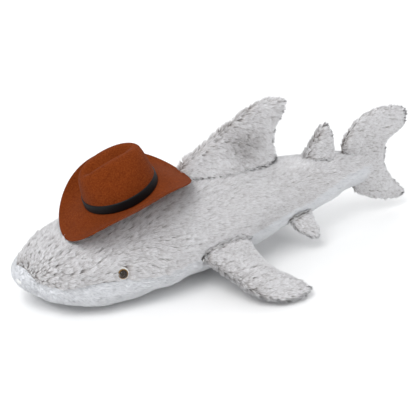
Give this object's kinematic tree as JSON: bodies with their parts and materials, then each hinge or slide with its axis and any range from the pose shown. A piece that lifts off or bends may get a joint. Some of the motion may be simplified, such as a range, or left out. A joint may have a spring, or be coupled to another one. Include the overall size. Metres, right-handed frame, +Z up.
{
  "type": "plush shark",
  "caption": "Stuffed plush shark lying on its belly, with flexible fins and tail, safety eyes and a removable felt hat.",
  "frame": {"origin": "on the floor under the middle of the overall box, on the shark's centre plane", "axes": "+Z up, the nose points along -X and the tail along +X, the shark's left side is -Y"},
  "size_m": [0.503, 0.2656, 0.1778],
  "materials": {
    "grey_long_pile_plush": "long soft pile, light warm grey",
    "white_short_pile_plush": "short white pile",
    "polyester_fibre_filling": "loose white fibre",
    "clear_eye_dome": "clear polished dome",
    "black_and_gold_eye_disc": "black centre with a gold ring",
    "eye_washer_plastic": "plain moulded washer",
    "rust_brown_felt": "matt pressed felt",
    "black_satin_ribbon": "black satin, soft sheen"
  },
  "bodies": {
    "torso": {"back_left_panel": "grey_long_pile_plush", "back_right_panel": "grey_long_pile_plush", "belly_panel": "white_short_pile_plush", "body_stuffing": "polyester_fibre_filling", "left_eye_dome": "clear_eye_dome", "left_eye_disc": "black_and_gold_eye_disc", "left_eye_washer": "eye_washer_plastic", "right_eye_dome": "clear_eye_dome", "right_eye_disc": "black_and_gold_eye_disc", "right_eye_washer": "eye_washer_plastic"},
    "dorsal_fin": {"dorsal_fin_left_panel": "grey_long_pile_plush", "dorsal_fin_right_panel": "grey_long_pile_plush", "dorsal_fin_stuffing": "polyester_fibre_filling"},
    "second_dorsal_fin": {"second_dorsal_fin_left_panel": "grey_long_pile_plush", "second_dorsal_fin_right_panel": "grey_long_pile_plush", "second_dorsal_fin_stuffing": "polyester_fibre_filling"},
    "tail": {"tail_fin_left_panel": "grey_long_pile_plush", "tail_fin_right_panel": "grey_long_pile_plush", "tail_fin_stuffing": "polyester_fibre_filling"},
    "hat": {"hat_felt": "rust_brown_felt", "hat_band": "black_satin_ribbon"},
    "left_pectoral_fin": {"left_pectoral_fin_upper_panel": "grey_long_pile_plush", "left_pectoral_fin_lower_panel": "grey_long_pile_plush", "left_pectoral_fin_stuffing": "polyester_fibre_filling"},
    "left_pelvic_fin": {"left_pelvic_fin_upper_panel": "grey_long_pile_plush", "left_pelvic_fin_lower_panel": "grey_long_pile_plush", "left_pelvic_fin_stuffing": "polyester_fibre_filling"},
    "right_pectoral_fin": {"right_pectoral_fin_upper_panel": "grey_long_pile_plush", "right_pectoral_fin_lower_panel": "grey_long_pile_plush", "right_pectoral_fin_stuffing": "polyester_fibre_filling"},
    "right_pelvic_fin": {"right_pelvic_fin_upper_panel": "grey_long_pile_plush", "right_pelvic_fin_lower_panel": "grey_long_pile_plush", "right_pelvic_fin_stuffing": "polyester_fibre_filling"}
  },
  "joints": [
    {"name": "dorsal_fin_flop", "type": "hinge", "parent": "torso", "child": "dorsal_fin", "pos_m": [-0.05154, 0, 0.1121], "axis": [1, 0, 0], "range_deg": [-35, 35], "stiffness_Nm_per_rad": 0.25},
    {"name": "second_dorsal_fin_flop", "type": "hinge", "parent": "torso", "child": "second_dorsal_fin", "pos_m": [0.10146, 0, 0.10145], "axis": [0.9925, 0, -0.1225], "range_deg": [-30, 30], "stiffness_Nm_per_rad": 0.1},
    {"name": "tail_wag", "type": "hinge", "parent": "torso", "child": "tail", "pos_m": [0.17646, 0, 0.07], "axis": [0, 0, 1], "range_deg": [-25, 25], "stiffness_Nm_per_rad": 0.3},
    {"name": "left_pectoral_fin_flap", "type": "hinge", "parent": "torso", "child": "left_pectoral_fin", "pos_m": [-0.05854, -0.06835, 0.038], "axis": [-0.9851, -0.1717, 0], "range_deg": [0, 50], "stiffness_Nm_per_rad": 0.15},
    {"name": "right_pectoral_fin_flap", "type": "hinge", "parent": "torso", "child": "right_pectoral_fin", "pos_m": [-0.05854, 0.06835, 0.038], "axis": [0.9851, -0.1717, 0], "range_deg": [0, 50], "stiffness_Nm_per_rad": 0.15},
    {"name": "left_pelvic_fin_flap", "type": "hinge", "parent": "torso", "child": "left_pelvic_fin", "pos_m": [0.06446, -0.03796, 0.038], "axis": [-0.9522, -0.3055, 0], "range_deg": [-15, 30], "stiffness_Nm_per_rad": 0.08},
    {"name": "right_pelvic_fin_flap", "type": "hinge", "parent": "torso", "child": "right_pelvic_fin", "pos_m": [0.06446, 0.03796, 0.038], "axis": [0.9522, -0.3055, 0], "range_deg": [-15, 30], "stiffness_Nm_per_rad": 0.08},
    {"name": "hat_lift", "type": "slide", "parent": "torso", "child": "hat", "axis": [-0.2756, 0, 0.9613], "range_m": [0, 0.08]}
  ]
}
